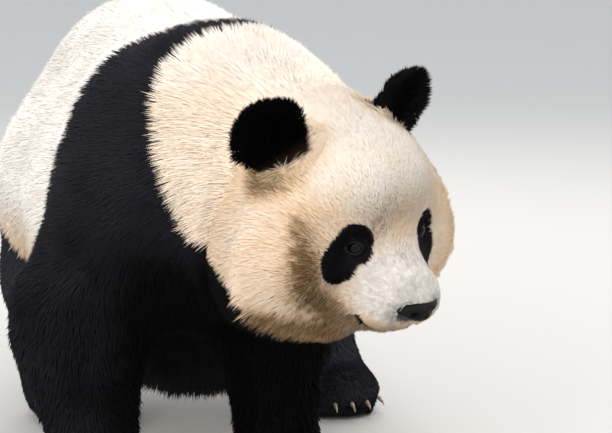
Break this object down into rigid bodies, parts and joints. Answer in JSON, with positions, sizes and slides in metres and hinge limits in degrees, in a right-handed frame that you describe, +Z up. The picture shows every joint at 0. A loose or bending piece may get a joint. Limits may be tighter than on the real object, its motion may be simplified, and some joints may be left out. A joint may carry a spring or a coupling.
{
  "type": "giant panda model",
  "caption": "Life-size still model of an adult giant panda paused in mid-stride, head lowered and turned to its left, standing on flat soles.",
  "frame": {"origin": "on the floor, under the middle of the animal's bounding box", "axes": "+Z up; the animal faces -Y, and its left side is towards +X"},
  "size_m": [0.7656, 1.444, 0.7794],
  "materials": {
    "white_coat": "soft dense fur, cream white",
    "black_coat": "soft dense fur, cool black with a faint brown sheen",
    "nose": "moist pebbled skin",
    "eye": "wet and glossy, dark brown iris",
    "claw": "worn horn, ivory"
  },
  "bodies": {
    "root": {"claw_fore_left_1": "claw", "claw_fore_left_2": "claw", "claw_fore_left_3": "claw", "claw_fore_left_4": "claw", "claw_fore_left_5": "claw", "claw_fore_right_1": "claw", "claw_fore_right_2": "claw", "claw_fore_right_3": "claw", "claw_fore_right_4": "claw", "claw_fore_right_5": "claw", "claw_hind_left_1": "claw", "claw_hind_left_2": "claw", "claw_hind_left_3": "claw", "claw_hind_left_4": "claw", "claw_hind_left_5": "claw", "claw_hind_right_1": "claw", "claw_hind_right_2": "claw", "claw_hind_right_3": "claw", "claw_hind_right_4": "claw", "claw_hind_right_5": "claw", "ear_left": "black_coat", "ear_right": "black_coat", "eye_left": "eye", "eye_right": "eye", "face": "white_coat", "forearm_left": "black_coat", "forearm_right": "black_coat", "forepaw_left": "black_coat", "forepaw_right": "black_coat", "head": "white_coat", "hindpaw_left": "black_coat", "hindpaw_right": "black_coat", "neck": "white_coat", "nose": "nose", "shank_left": "black_coat", "shank_right": "black_coat", "shoulders": "black_coat", "tail": "white_coat", "thigh_left": "black_coat", "thigh_right": "black_coat", "trunk": "white_coat"}
  },
  "joints": []
}
